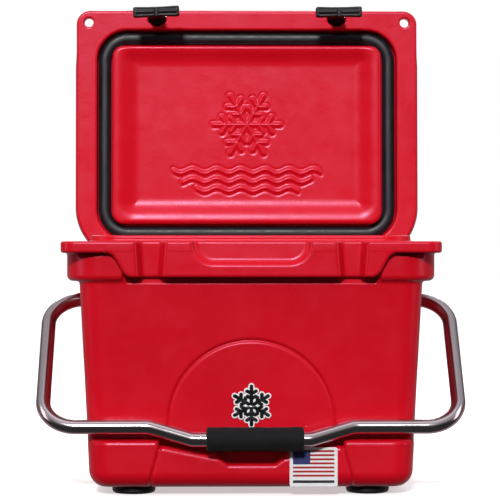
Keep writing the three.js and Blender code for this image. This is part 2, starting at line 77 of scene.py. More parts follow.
# ------------------------------------------------------------------ field tools
def rr2(x, y, x0, x1, y0, y1, rf, rr=None):
    rr = rf if rr is None else rr
    cx, cy = (x0 + x1) / 2, (y0 + y1) / 2
    r = F4(rf) if rr == rf else np.where(y < cy, F4(rf), F4(rr))
    qx = np.abs(x - cx) - (x1 - x0) / 2 + r
    qy = np.abs(y - cy) - (y1 - y0) / 2 + r
    return np.minimum(np.maximum(qx, qy), 0) + np.hypot(np.maximum(qx, 0), np.maximum(qy, 0)) - r


def cap(d, z, z0, z1, r):
    a = d + F4(r)
    b = np.abs(z - (z0 + z1) / 2) - (z1 - z0) / 2 + F4(r)
    return np.minimum(np.maximum(a, b), 0) + np.hypot(np.maximum(a, 0), np.maximum(b, 0)) - F4(r)


def smin(a, b, k):
    h = np.maximum(k - np.abs(a - b), 0) / k
    return np.minimum(a, b) - h * h * (k * 0.25)


def smax(a, b, k):
    h = np.maximum(k - np.abs(a - b), 0) / k
    return np.maximum(a, b) + h * h * (k * 0.25)


def poly2(x, y, pts):
    d2, s = F4(1e12), F4(1)
    n = len(pts)
    for i in range(n):
        ax, ay = pts[i]
        bx, by = pts[i - 1]
        ex, ey = bx - ax, by - ay
        wx, wy = x - F4(ax), y - F4(ay)
        t = np.clip((wx * ex + wy * ey) / F4(ex * ex + ey * ey), 0, 1)
        dx, dy = wx - t * F4(ex), wy - t * F4(ey)
        d2 = np.minimum(d2, dx * dx + dy * dy)
        c1, c2, c3 = y >= ay, y < by, (ex * wy) > (ey * wx)
        s = np.where((c1 & c2 & c3) | (~c1 & ~c2 & ~c3), -s, s)
    return s * np.sqrt(d2)


def seg2(x, y, ax, ay, bx, by):
    ex, ey = bx - ax, by - ay
    t = np.clip(((x - ax) * ex + (y - ay) * ey) / (ex * ex + ey * ey), 0, 1)
    return np.hypot(x - ax - t * ex, y - ay - t * ey)


def flake2(u, v, R):
    """distance to the lines of a plain six-armed snowflake of radius R"""
    a = np.arctan2(v, u)
    k = np.round(a / (math.pi / 3)) * (math.pi / 3)
    c, s = np.cos(k), np.sin(k)
    p, q = u * c + v * s, np.abs(-u * s + v * c)
    d = seg2(p, q, 0.0, 0.0, R, 0.0)
    for at, ln in ((0.36, 0.24), (0.62, 0.27)):
        d = np.minimum(d, seg2(p, q, at * R, 0.0, (at + ln * 0.5) * R, ln * 0.866 * R))
    return d


def grid(*runs):
    out = []
    for a, b, step in runs:
        n = max(1, int(round((b - a) / step)))
        out.append(np.linspace(a, b, n, endpoint=False))
    out.append([runs[-1][1]])
    return np.concatenate(out).astype(F4)


def grad(fn, x, y, z, h):
    gx = fn(x + h, y, z) - fn(x - h, y, z)
    gy = fn(x, y + h, z) - fn(x, y - h, z)
    gz = fn(x, y, z + h) - fn(x, y, z - h)
    return np.stack([gx, gy, gz], 1) / (2 * h)


def nets(fn, xs, ys, zs, pull=2):
    """smooth quad mesh of the surface fn = 0 on a rectilinear grid"""
    shape = (xs.size, ys.size, zs.size)
    F = np.ascontiguousarray(
        np.broadcast_to(fn(xs[:, None, None], ys[None, :, None], zs[None, None, :]), shape), dtype=F4
    )
    S = F < 0
    T = S.astype(np.uint8)
    c = T[:-1] + T[1:]
    c = c[:, :-1] + c[:, 1:]
    c = c[:, :, :-1] + c[:, :, 1:]
    mask = (c > 0) & (c < 8)
    ci, cj, ck = np.nonzero(mask)
    n = ci.size
    idx = np.full(mask.shape, -1, np.int32)
    idx[ci, cj, ck] = np.arange(n)
    corners = [(a, b, d) for a in (0, 1) for b in (0, 1) for d in (0, 1)]
    vals = {k: F[ci + k[0], cj + k[1], ck + k[2]] for k in corners}
    P, cnt = np.zeros((n, 3), F4), np.zeros(n, F4)
    for k in corners:
        for ax in range(3):
            if k[ax]:
                continue
            m = list(k)
            m[ax] = 1
            fa, fb = vals[k], vals[tuple(m)]
            cr = (fa < 0) != (fb < 0)
            t = np.where(cr, fa / np.where(cr, fa - fb, 1), 0)
            q = np.tile(np.array(k, F4), (n, 1))
            q[:, ax] = t
            P += q * cr[:, None]
            cnt += cr
    P /= cnt[:, None]
    x = xs[ci] + P[:, 0] * (xs[ci + 1] - xs[ci])
    y = ys[cj] + P[:, 1] * (ys[cj + 1] - ys[cj])
    z = zs[ck] + P[:, 2] * (zs[ck + 1] - zs[ck])
    for _ in range(pull):
        f = fn(x, y, z)
        g = grad(fn, x, y, z, F4(0.15))
        k = np.clip(f / np.maximum((g * g).sum(1), 0.3), -0.7, 0.7)
        x, y, z = x - k * g[:, 0], y - k * g[:, 1], z - k * g[:, 2]
    quads = []
    e = S[:-1, 1:-1, 1:-1] != S[1:, 1:-1, 1:-1]
    i, j, k = np.nonzero(e)
    j, k = j + 1, k + 1
    q = np.stack([idx[i, j - 1, k - 1], idx[i, j, k - 1], idx[i, j, k], idx[i, j - 1, k]], 1)
    flip = ~S[i, j, k]
    q[flip] = q[flip][:, ::-1]
    quads.append(q)
    e = S[1:-1, :-1, 1:-1] != S[1:-1, 1:, 1:-1]
    i, j, k = np.nonzero(e)
    i, k = i + 1, k + 1
    q = np.stack([idx[i - 1, j, k - 1], idx[i - 1, j, k], idx[i, j, k], idx[i, j, k - 1]], 1)
    flip = ~S[i, j, k]
    q[flip] = q[flip][:, ::-1]
    quads.append(q)
    e = S[1:-1, 1:-1, :-1] != S[1:-1, 1:-1, 1:]
    i, j, k = np.nonzero(e)
    i, j = i + 1, j + 1
    q = np.stack([idx[i - 1, j - 1, k], idx[i, j - 1, k], idx[i, j, k], idx[i - 1, j, k]], 1)
    flip = ~S[i, j, k]
    q[flip] = q[flip][:, ::-1]
    quads.append(q)
    Q = np.concatenate(quads)
    return np.stack([x, y, z], 1), Q


def to_mesh(name, V, faces, sizes=None):
    """faces: (n, k) array, or a flat list with sizes"""
    me = bpy.data.meshes.new(name)
    V = np.asarray(V, F4)
    if sizes is None:
        faces = np.asarray(faces, np.int32)
        sizes = np.full(len(faces), faces.shape[1], np.int32)
        flat = faces.ravel()
    else:
        flat, sizes = np.asarray(faces, np.int32), np.asarray(sizes, np.int32)
    me.vertices.add(len(V))
    me.vertices.foreach_set("co", V.ravel())
    me.loops.add(len(flat))
    me.loops.foreach_set("vertex_index", flat)
    me.polygons.add(len(sizes))
    starts = np.concatenate([[0], np.cumsum(sizes)[:-1]]).astype(np.int32)
    me.polygons.foreach_set("loop_start", starts)
    me.polygons.foreach_set("loop_total", sizes)
    me.update(calc_edges=True)
    me.validate()
    me.polygons.foreach_set("use_smooth", np.ones(len(me.polygons), bool))
    return me


def add(name, me, body, mat, node=None):
    o = bpy.data.objects.new(name, me)
    bpy.context.scene.collection.objects.link(o)
    for m in mat if isinstance(mat, (list, tuple)) else [mat]:
        me.materials.append(m)
    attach(o, body)
    if node:
        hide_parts(node)
    return o


def unfold(me, fn):
    """merges the folded slivers that the thinning leaves"""
    bm = bmesh.new()
    bm.from_mesh(me)
    for reach in (0.9, 1.6):
        bmesh.ops.triangulate(bm, faces=[f for f in bm.faces if len(f.verts) > 3])
        bm.verts.index_update()
        co = np.array([v.co for v in bm.verts], F4)
        tri = np.array([[v.index for v in f.verts] for f in bm.faces], np.int32)
        p0, p1, p2 = co[tri[:, 0]], co[tri[:, 1]], co[tri[:, 2]]
        face = np.cross(p1 - p0, p2 - p0)
        face /= np.maximum(np.linalg.norm(face, axis=1, keepdims=True), 1e-9)
        m = (p0 + p1 + p2) / 3
        g = grad(fn, m[:, 0], m[:, 1], m[:, 2], F4(0.35))
        g /= np.maximum(np.linalg.norm(g, axis=1, keepdims=True), 1e-9)
        bad = np.nonzero((face * g).sum(1) < 0.55)[0]
        print("unfold", me.name, len(bad), "of", len(tri))
        if not len(bad):
            break
        bm.verts.ensure_lookup_table()
        near = {i for t in bad for i in tri[t]}
        bmesh.ops.remove_doubles(bm, verts=[bm.verts[i] for i in sorted(near)], dist=reach)
    bm.to_mesh(me)
    bm.free()


def moulded(name, fn, xs, ys, zs, body, mat, node, lid=False, keep=1.0, post=None):
    """a mesh of field fn, thinned where it is flat, shaded by the field's own gradient"""
    V, Q = nets(fn, xs, ys, zs)
    me = to_mesh(name, V, Q)
    if keep < 1:
        tmp = bpy.data.objects.new("tmp", me)
        bpy.context.scene.collection.objects.link(tmp)
        d = tmp.modifiers.new("thin", "DECIMATE")
        d.ratio = keep
        dg = bpy.context.evaluated_depsgraph_get()
        thin = bpy.data.meshes.new_from_object(tmp.evaluated_get(dg))
        bpy.data.objects.remove(tmp)
        bpy.data.meshes.remove(me)
        me = thin
        me.name = name
        unfold(me, fn)
    n = len(me.vertices)
    co = np.zeros(n * 3, F4)
    me.vertices.foreach_get("co", co)
    co = co.reshape(-1, 3)
    N = grad(fn, co[:, 0], co[:, 1], co[:, 2], F4(0.35))
    N /= np.maximum(np.linalg.norm(N, axis=1, keepdims=True), 1e-9)
    if post is not None:
        co, N = post(co, N)
    me.vertices.foreach_set("co", place(co, lid).astype(F4).ravel())
    me.update()
    me.polygons.foreach_set("use_smooth", np.ones(len(me.polygons), bool))
    me.normals_split_custom_set_from_vertices(turn(N, lid).tolist())
    return add(name, me, body, mat, node)


# ------------------------------------------------------------------ materials
def lin(r, g, b):
    f = lambda c: c / 12.92 if c <= 0.04045 else ((c + 0.055) / 1.055) ** 2.4
    return (f(r / 255), f(g / 255), f(b / 255), 1)


class Mat:
    def __init__(self, name, **consts):
        self.m = bpy.data.materials.new(name)
        self.m.use_nodes = True
        self.t = self.m.node_tree
        self.p = self.t.nodes["Principled BSDF"]
        for k, v in consts.items():
            self.p.inputs[k.replace("_", " ")].default_value = v
        self.co = self.t.nodes.new("ShaderNodeTexCoord").outputs["Object"]

    def node(self, kind, **props):
        n = self.t.nodes.new(kind)
        for k, v in props.items():
            setattr(n, k, v)
        return n

    def link(self, a, b):
        self.t.links.new(a, b)

    def mapped(self, scale, co=None):
        n = self.node("ShaderNodeMapping")
        n.inputs["Scale"].default_value = scale
        self.link(co or self.co, n.inputs["Vector"])
        return n.outputs["Vector"]

    def noise(self, scale, detail=2, rough=0.5, co=None, out="Fac"):
        n = self.node("ShaderNodeTexNoise")
        n.inputs["Scale"].default_value = scale
        n.inputs["Detail"].default_value = detail
        n.inputs["Roughness"].default_value = rough
        self.link(co or self.co, n.inputs["Vector"])
        return n.outputs[out]

    def voronoi(self, scale, co=None, feature="F1"):
        n = self.node("ShaderNodeTexVoronoi", feature=feature)
        n.inputs["Scale"].default_value = scale
        self.link(co or self.co, n.inputs["Vector"])
        return n.outputs["Distance"]

    def ramp(self, fac, *stops):
        n = self.node("ShaderNodeValToRGB")
        e = n.color_ramp.elements
        while len(e) < len(stops):
            e.new(0.5)
        for el, (pos, col) in zip(e, stops):
            el.position = pos
            el.color = col
        self.link(fac, n.inputs["Fac"])
        return n.outputs["Color"]

    def remap(self, fac, a, b, lo, hi):
        n = self.node("ShaderNodeMapRange")
        for k, v in zip(("From Min", "From Max", "To Min", "To Max"), (a, b, lo, hi)):
            n.inputs[k].default_value = v
        self.link(fac, n.inputs["Value"])
        return n.outputs["Result"]

    def math(self, op, a, b=None):
        n = self.node("ShaderNodeMath", operation=op)
        for i, v in enumerate((a, b)):
            if v is None:
                continue
            if isinstance(v, (int, float)):
                n.inputs[i].default_value = v
            else:
                self.link(v, n.inputs[i])
        return n.outputs[0]

    def mix(self, fac, a, b, blend="MIX"):
        n = self.node("ShaderNodeMix", data_type="RGBA", blend_type=blend)
        for sock, v in ((n.inputs[0], fac), (n.inputs[6], a), (n.inputs[7], b)):
            if isinstance(v, (int, float)):
                sock.default_value = v
            elif isinstance(v, tuple):
                sock.default_value = v
            else:
                self.link(v, sock)
        return n.outputs[2]

    def bump(self, *layers):
        """layers of (height, strength, distance in metres)"""
        last = None
        for h, s, d in layers:
            n = self.node("ShaderNodeBump")
            n.inputs["Strength"].default_value = s
            n.inputs["Distance"].default_value = d
            self.link(h, n.inputs["Height"])
            if last is not None:
                self.link(last, n.inputs["Normal"])
            last = n.outputs["Normal"]
        self.link(last, self.p.inputs["Normal"])

    def set(self, sock, out):
        self.link(out, self.p.inputs[sock])


def moulded_plastic(name, lo, hi, edge, rough=(0.36, 0.5), peel=1.0):
    m = Mat(name, Specular_IOR_Level=0.42, Specular_Tint=(1.0, 0.62, 0.95, 1))
    broad = m.noise(7.0, 3, 0.55)
    speck = m.noise(900.0, 2, 0.6)
    col = m.ramp(broad, (0.3, lo), (0.7, hi))
    col = m.mix(m.remap(speck, 0.45, 0.75, 0.0, 0.1), col, edge)
    # moulded edges catch a little lighter wear
    geo = m.node("ShaderNodeNewGeometry").outputs["Pointiness"]
    worn = m.math("MULTIPLY", m.remap(geo, 0.52, 0.60, 0.0, 0.35), m.noise(60.0, 3, 0.6))
    m.set("Base Color", m.mix(worn, col, edge))
    m.set("Roughness", m.remap(m.noise(38.0, 4, 0.65), 0.3, 0.7, *rough))
    m.bump(
        (m.noise(26.0, 2, 0.5), 0.12 * peel, 0.0025),
        (m.noise(330.0, 2, 0.55), 0.22 * peel, 0.0004),
        (m.noise(1500.0, 1, 0.5), 0.16 * peel, 0.00012),
    )
    return m.m


RED = moulded_plastic("red_rotomoulded", lin(200, 7, 25), lin(209, 11, 30), lin(226, 44, 66), (0.27, 0.37))


def rubber(name, base, light, rough=(0.42, 0.58), grain=700.0):
    m = Mat(name, Specular_IOR_Level=0.45)
    m.set("Base Color", m.ramp(m.noise(24.0, 4, 0.6), (0.35, base), (0.72, light)))
    m.set("Roughness", m.remap(m.noise(90.0, 3, 0.6), 0.3, 0.7, *rough))
    m.bump((m.noise(120.0, 2, 0.5), 0.12, 0.0006), (m.noise(grain, 2, 0.6), 0.22, 0.00018))
    return m.m


RUBBER = rubber("black_rubber", lin(13, 13, 16), lin(25, 25, 30))
GASKET = rubber("gasket_rubber", lin(15, 15, 20), lin(27, 27, 36), (0.38, 0.52), 500.0)
PLASTIC = rubber("black_plastic", lin(20, 20, 22), lin(32, 33, 36), (0.3, 0.42), 1100.0)


def steel_tube():
    m = Mat("satin_steel_tube", Metallic=1.0, Anisotropic=0.35)
    uv = m.node("ShaderNodeUVMap", uv_map="along").outputs["UV"]
    fine = m.noise(1.0, 3, 0.6, m.mapped((9.0, 2600.0, 1.0), uv))
    long = m.noise(1.0, 3, 0.55, m.mapped((2.5, 420.0, 1.0), uv))
    col = m.ramp(long, (0.3, lin(176, 165, 167)), (0.7, lin(216, 206, 208)))
    col = m.mix(m.remap(fine, 0.35, 0.65, 0.0, 0.25), col, lin(236, 233, 231))
    m.set("Base Color", col)
    smudge = m.noise(16.0, 4, 0.6)
    r = m.math("ADD", m.remap(fine, 0.3, 0.7, 0.12, 0.2), m.remap(smudge, 0.4, 0.75, 0.0, 0.06))
    m.set("Roughness", r)
    m.bump((fine, 0.1, 0.00008), (long, 0.08, 0.00015))
    return m.m


def plain_steel(name):
    m = Mat(name, Metallic=1.0)
    n = m.noise(260.0, 3, 0.6)
    m.set("Base Color", m.ramp(n, (0.3, lin(150, 150, 152)), (0.7, lin(205, 205, 206))))
    m.set("Roughness", m.remap(n, 0.3, 0.7, 0.22, 0.4))
    m.bump((m.noise(900.0, 2, 0.6), 0.15, 0.00008))
    return m.m


def foam_grip():
    m = Mat("closed_cell_foam", Specular_IOR_Level=0.3)
    m.p.inputs["Sheen Weight"].default_value = 0.04
    m.p.inputs["Sheen Roughness"].default_value = 0.5
    cells = m.voronoi(1500.0)
    wide = m.noise(70.0, 4, 0.6)
    m.set("Base Color", m.ramp(wide, (0.3, lin(7, 7, 9)), (0.72, lin(17, 17, 20))))
    m.set("Roughness", m.remap(cells, 0.0, 0.6, 0.72, 0.92))
    m.bump((wide, 0.35, 0.0012), (m.noise(420.0, 3, 0.65), 0.4, 0.0004), (cells, 0.35, 0.0002))
    return m.m


def insulation():
    m = Mat("urethane_foam")
    c = m.voronoi(600.0)
    m.set("Base Color", m.ramp(c, (0.0, lin(226, 205, 150)), (0.8, lin(240, 226, 184))))
    m.set("Roughness", m.remap(c, 0, 0.6, 0.8, 0.95))
    m.bump((c, 0.5, 0.0008))
    return m.m


def vinyl(name, col, col2, rough=(0.22, 0.34)):
    m = Mat(name, Specular_IOR_Level=0.5, Coat_Weight=0.25, Coat_Roughness=0.12)
    m.set("Base Color", m.ramp(m.noise(90.0, 3, 0.6), (0.3, col), (0.7, col2)))
    m.set("Roughness", m.remap(m.noise(220.0, 2, 0.5), 0.3, 0.7, *rough))
    m.bump((m.noise(500.0, 2, 0.5), 0.1, 0.0001))
    return m.m


def striped_vinyl(x0, x1, z0, z1):
    """white bordered label: plain stripes with a blue block, no lettering"""
    m = Mat("striped_label_print", Specular_IOR_Level=0.5, Coat_Weight=0.2, Coat_Roughness=0.15)
    sep = m.node("ShaderNodeSeparateXYZ")
    m.link(m.co, sep.inputs[0])
    X, Z = sep.outputs["X"], sep.outputs["Z"]
    u, v = m.remap(X, x0, x1, 0, 1), m.remap(Z, z0, z1, 0, 1)

    def inside(a, lo_, hi_):
        return m.math("MULTIPLY", m.math("GREATER_THAN", a, lo_), m.math("LESS_THAN", a, hi_))

    white = m.ramp(m.noise(120.0, 3, 0.6), (0.3, lin(226, 226, 228)), (0.7, lin(240, 240, 241)))
    k = m.remap(v, 0.26, 0.93, 0, 13)
    odd = m.math("GREATER_THAN", m.math("FLOORED_MODULO", k, 2.0), 1.0)
    stripe = m.math("SUBTRACT", 1.0, odd)
    field = m.math("MULTIPLY", inside(u, 0.07, 0.93), inside(v, 0.26, 0.93))
    col = m.mix(m.math("MULTIPLY", field, stripe), white, lin(176, 26, 38))
    block = m.math("MULTIPLY", inside(u, 0.07, 0.43), inside(v, 0.57, 0.93))
    weave = m.noise(700.0, 2, 0.6)
    blue = m.ramp(weave, (0.3, lin(38, 42, 92)), (0.7, lin(56, 60, 116)))
    col = m.mix(block, col, blue)
    base_line = m.math("MULTIPLY", inside(u, 0.07, 0.93), inside(v, 0.1, 0.17))
    col = m.mix(base_line, col, lin(40, 40, 44))
    m.set("Base Color", col)
    m.set("Roughness", m.remap(m.noise(200.0, 2, 0.5), 0.3, 0.7, 0.3, 0.42))
    m.bump((m.noise(420.0, 2, 0.5), 0.08, 0.0001))
    return m.m


STEEL_TUBE, STEEL, GRIP = steel_tube(), plain_steel("fastener_steel"), foam_grip()
FOAM = insulation()
WHITE_VINYL = vinyl("white_vinyl", lin(228, 229, 231), lin(242, 242, 243))
BLACK_VINYL = vinyl("black_vinyl", lin(14, 14, 16), lin(26, 26, 29))

# ------------------------------------------------------------------ box shell
APRON = [(141.5, 259.2), (147.5, 261.2), (152.5, 266.5), (158.5, 277.5), (163, 284.6), (171, 289.5), (176, 299)]
APRON = APRON + [(-a, b) for a, b in reversed(APRON)]
BLOCK = [(206, 0), (206, 66), (111, 66), (108, 60), (38, 46), (27, 38.5)]
BLOCK = BLOCK + [(-a, b) for a, b in reversed(BLOCK)]
POCKET = [(-52, 64), (-40, 46.5), (-28, 38.7), (28, 38.7), (40, 46.5), (52, 64)]
EAR = [(169, 288.2), (178, 285.2), (192, 283.4), (206, 282.2), (215, 282.0), (216.5, 288.2)]
CHAN = [(LATCH_X - 14.9, 250), (LATCH_X + 14.9, 250), (LATCH_X + 20, 332), (LATCH_X - 20, 332)]


def tub_field(x, y, z):
    ax = np.abs(x)
    wx = 204.6 - 0.05 * (253 - z)
    wy = 148.5 - 0.054 * (260 - z)
    sx = x * (204.6 / wx)
    sy = y * (148.5 / wy)
    d = cap(rr2(sx, sy, -204.6, 204.6, -148.5, 148.5, 26), z, 9.5, 330, 19)
    d = smax(d, z - 291, 1)
    skirt = cap(rr2(x, y, -220, 220, -155, 155, 44, 60), z, 254.5, 310, 7)
    skirt = smax(skirt, z - 290, 1)
    under = np.maximum(np.maximum(ax - 152, y + 148.7), z - 262)
    skirt = smax(skirt, -under, 4)
    d = smin(d, skirt, 4)
    plan = rr2(x, y, -225.5, 225.5, -165, 160.5, 18, 67)
    d = smin(d, cap(plan, z, 288, 302, 3.2), 3)
    d = smin(d, cap(poly2(x, z, APRON), y, -165, -144, 3.4), 0.5)
    d = smin(d, cap(rr2(x, y, -192.5, 192.5, -133.5, 133.5, 36), z, 290, 309, 2.6), 2.2)
    # lower front blocks
    bd = poly2(x, z, BLOCK)
    shade = smax(np.abs(bd - 3.4) - 3.0, y + wy - 8, 1.5)
    d = smax(d, -smax(shade, np.maximum(ax - 190, 36 - z), 3), 2)
    blocks = cap(rr2(sx, y, -204.6, 204.6, -147, 130, 28), z, 9.5, 120, 19)
    blocks = smax(blocks, bd, 6.5)
    blocks = smax(blocks, y + 118, 2)
    d = smin(d, blocks, 1.6)
    pocket = smax(poly2(x, z, POCKET), np.abs(y + 146) - 24, 4)
    d = smax(d, -pocket, 3)
    # hinge rail
    d = smax(d, -np.maximum(151 - y, 292 - z), 0.8)
    rail = smax(np.hypot(y - HINGE_Y, z - HINGE_Z) - 9.5, np.maximum(ax - 212, plan), 2)
    d = smin(d, rail, 1)
    notch = np.maximum(np.abs(ax - 121) - 25, np.maximum(140.5 - y, 281.5 - z))
    d = smax(d, -notch, 1.6)
    d = smax(d, -np.maximum(np.hypot(y - HINGE_Y, z - HINGE_Z) - 3.3, 77.6 - ax), 0.6)
    d = smax(d, -np.maximum(np.hypot(y - HINGE_Y, z - HINGE_Z) - 4.8, 172 - ax), 0.8)
    # food space
    bx = 168.5 + (z - 64) * (12 / 238)
    by = 108 + (z - 64) * (13.5 / 238)
    room = cap(rr2(x * (180.5 / bx), y * (121.5 / by), -180.5, 180.5, -121.5, 121.5, 20), z, 64, 350, 14)
    d = smax(d, -room, 4)
    # latch channels, finger recess
    ch = smax((poly2(ax, z, CHAN) + (y + 165) * 0.48) / 1.11, np.abs(y + 176) - 25, 2)
    d = smax(d, -ch, 3.4)
    # shadow gap behind the apron's lower edge
    gap = smax(np.maximum(np.abs(z - 256.0) - 3.2, y + 143.9), ax - 148, 2)
    d = smax(d, -gap, 1.0)
    fr = smax((rr2(x, z, -70.6, 70.6, 274.4, 360, 26) + (y + 165) * 0.5) / 1.118, y + 157.6 - (z - 288) * 0.05, 4)
    d = smax(d, -fr, 3)
    # lock holes with a scallop below the ears
    hole = np.hypot(ax - 209.3, y + 149.5)
    d = smax(d, -np.maximum(hole - 6.1, 281 - z), 1.6)
    d = smax(d, -smax(poly2(ax, z, EAR), y + 144, 2), 1.0)
    # handle bush sockets
    b = np.hypot(y, z - PIVOT_Z)
    d = smax(d, -np.maximum(b - 13.3, 184.3 - ax), 0.8)
    d = smax(d, -np.maximum(b - 15.5, 203.0 - ax), 1.0)
    # filling port underneath
    d = smax(d, -np.maximum(np.hypot(x, y) - 13.6, z - 12), 0.8)
    # arched line pressed into the front
    arch = np.where(
        z > 86.5,
        np.abs(np.hypot(x, z - 86.5) - 98),
        np.minimum(
            seg2(ax, z, 98, 86.5, 108.5, 58),
            np.minimum(seg2(ax, z, 108.5, 58, 119, 20), seg2(ax, z, 119, 20, 122, 0)),
        ),
    )
    line = 2.2 * np.exp(-((arch / 1.9) ** 2))
    return d + line * (1 / (1 + np.exp(np.clip((y + 128) * 1.5, -30, 30))))


moulded(
    "tub_shell_moulded", tub_field,
    grid((-231, -148, 2.9), (-148, 148, 1.8), (148, 231, 2.9)),
    grid((-170.3, -126, 1.55), (-126, 136, 3.3), (136, 166, 1.6)),
    grid((6, 70, 1.7), (70, 188, 1.8), (188, 252, 2.6), (252, 313, 1.5)),
    "tub", RED, "tub_shell", keep=0.42,
)

# ------------------------------------------------------------------ lid shell
FLAKE_Y, FLAKE_R = -14.0, 44.0


def lid_field(x, y, z):
    ax = np.abs(x)
    plate = cap(rr2(x, y, -225.5, 225.5, -165, 165, 18, 69), z, 302.5, 317, 3)
    upper = cap(rr2(x, y, -225.5, 225.5, -165, 165, 80, 69), z, 240, 356, 26)
    upper = smax(upper, 309.5 - z, 1)
    d = smin(plate, upper, 5)
    d = smax(d, -cap(rr2(x, y, -198.5, 198.5, -139.5, 139.5, 41), z, 270, 316, 2), 3)
    d = smin(d, cap(rr2(x, y, -178, 178, -118.5, 118, 15), z, 299.5, 330, 5), 1.2)
    r2 = rr2(x, y, -163.7, 163.7, -112.5, 105.8, 16)
    rec = smax((r2 + (z - 299.5) * 1.625) / 1.908, z - 307.5, 5)
    d = smax(d, -rec, 5)
    # head pockets for the latches
    u, w = y - PIN_Y, z - PIN_Z
    pk = np.minimum(np.hypot(u, w) - 13.8, np.maximum(np.maximum(u, w - 13.8), -30 - w))
    front = np.where(u > 0, np.hypot(ax - LATCH_X, u) - 13.6, -u - 13.8)
    pk = np.minimum(pk, np.maximum(front, w))
    d = smax(d, -np.maximum(pk, np.abs(ax - LATCH_X) - 12), 1.4)
    d = smax(d, -np.maximum(np.hypot(u, w) - 2.8, np.abs(ax - LATCH_X) - 21), 0.6)
    hole = np.hypot(ax - 209.3, y + 149.5) - 6.1
    d = smax(d, -hole, 1.6)
    # hinge knuckles
    kx = np.abs(ax - 121) - 24.2
    h = np.hypot(y - HINGE_Y, z - HINGE_Z)
    kn = np.minimum(h - 9.3, np.maximum(np.abs(y - HINGE_Y) - 9.3, np.maximum(HINGE_Z - z, z - 306)))
    d = smin(d, smax(kn, kx, 1.2), 1.5)
    d = smax(d, -np.maximum(h - 3.3, kx - 3), 0.6)
    d = smax(d, -np.maximum(np.hypot(x, z - 317) - 10.8, 163 - y), 0.8)
    # pressed emblem on the panel: a plain snowflake over three wavy lines
    line = flake2(x, -(y - FLAKE_Y), FLAKE_R)
    for yy, half in ((48.0, 96.0), (60.0, 84.0), (72.0, 66.0)):
        wave = yy + 2.6 * np.sin(x * (2 * math.pi / 32.0))
        line = np.minimum(line, np.hypot((y - wave) * 0.9, np.maximum(ax - half, 0)))
    near = 1 / (1 + np.exp(np.clip((z - 311) * 1.5, -30, 30)))
    relief = 1.5 * np.exp(-((line / 2.3) ** 2)) - 0.45 * np.exp(-(((line - 4.6) / 1.6) ** 2))
    return d - relief * near


moulded(
    "lid_shell_moulded", lid_field,
    grid((-231, -104, 1.9), (-104, 104, 1.55), (104, 231, 1.9)),
    grid((-170, -66, 1.9), (-66, 86, 1.5), (86, 170, 1.9)),
    grid((279, 322, 1.45), (322, 360, 2.6)),
    "lid", RED, "lid_shell", lid=True, keep=0.5,
)


# ------------------------------------------------------------------ swept and turned pieces
def loft(name, rings, closed_path=False, closed_ring=True, uv=None):
    """rings: (m, n, 3) millimetres; quads between rings, flat fans never needed"""
    R = np.asarray(rings, float)
    m, n = R.shape[:2]
    a = np.arange(m if closed_path else m - 1)
    b = np.arange(n if closed_ring else n - 1)
    A, B = np.meshgrid(a, b, indexing="ij")
    A2, B2 = (A + 1) % m, (B + 1) % n
    q = np.stack([A * n + B, A2 * n + B, A2 * n + B2, A * n + B2], -1).reshape(-1, 4)
    return R.reshape(-1, 3), q


def turned(name, profile, axis, origin, seg, body, mat, node, lid=False, wobble=None):
    """profile: (along, radius) pairs, closed on the axis by tiny end rings; axis 0, 1 or 2"""
    P = []
    for i, (a, r) in enumerate(profile):
        P.append((a, max(r, 0.02)))
    th = np.linspace(0, 2 * math.pi, seg, endpoint=False)
    rings = np.zeros((len(P), seg, 3))
    o1, o2 = [(1, 2), (2, 0), (0, 1)][axis]
    for i, (a, r) in enumerate(P):
        rad = r if wobble is None else r + wobble(a, th) * (r > 1)
        rings[i, :, axis] = origin[axis] + a
        rings[i, :, o1] = origin[o1] + rad * np.cos(th)
        rings[i, :, o2] = origin[o2] + rad * np.sin(th)
    V, q = loft(name, rings)
    q = q[:, ::-1]
    me = to_mesh(name, place(V, lid), q)
    o = add(name, me, body, mat, node)
    soften(me, 38)
    return o


def soften(me, deg):
    me.set_sharp_from_angle(angle=math.radians(deg))


def dense(profile, step=1.2):
    out = [profile[0]]
    for (a0, r0), (a1, r1) in zip(profile, profile[1:]):
        n = max(1, int(math.hypot(a1 - a0, r1 - r0) / step))
        out += [(a0 + (a1 - a0) * t / n, r0 + (r1 - r0) * t / n) for t in range(1, n + 1)]
    return out


def rounded(profile, radius=0.5, steps=4):
    """rounds each inner corner of a turned profile"""
    out = [profile[0]]
    for i in range(1, len(profile) - 1):
        p, c, n = map(np.array, (profile[i - 1], profile[i], profile[i + 1]))
        la, lb = np.linalg.norm(p - c), np.linalg.norm(n - c)
        r = min(radius, la * 0.45, lb * 0.45)
        a, b = c + (p - c) / la * r, c + (n - c) / lb * r
        for t in np.linspace(0, 1, steps + 1):
            out.append(tuple((1 - t) ** 2 * a + 2 * t * (1 - t) * c + t * t * b))
    out.append(profile[-1])
    return out


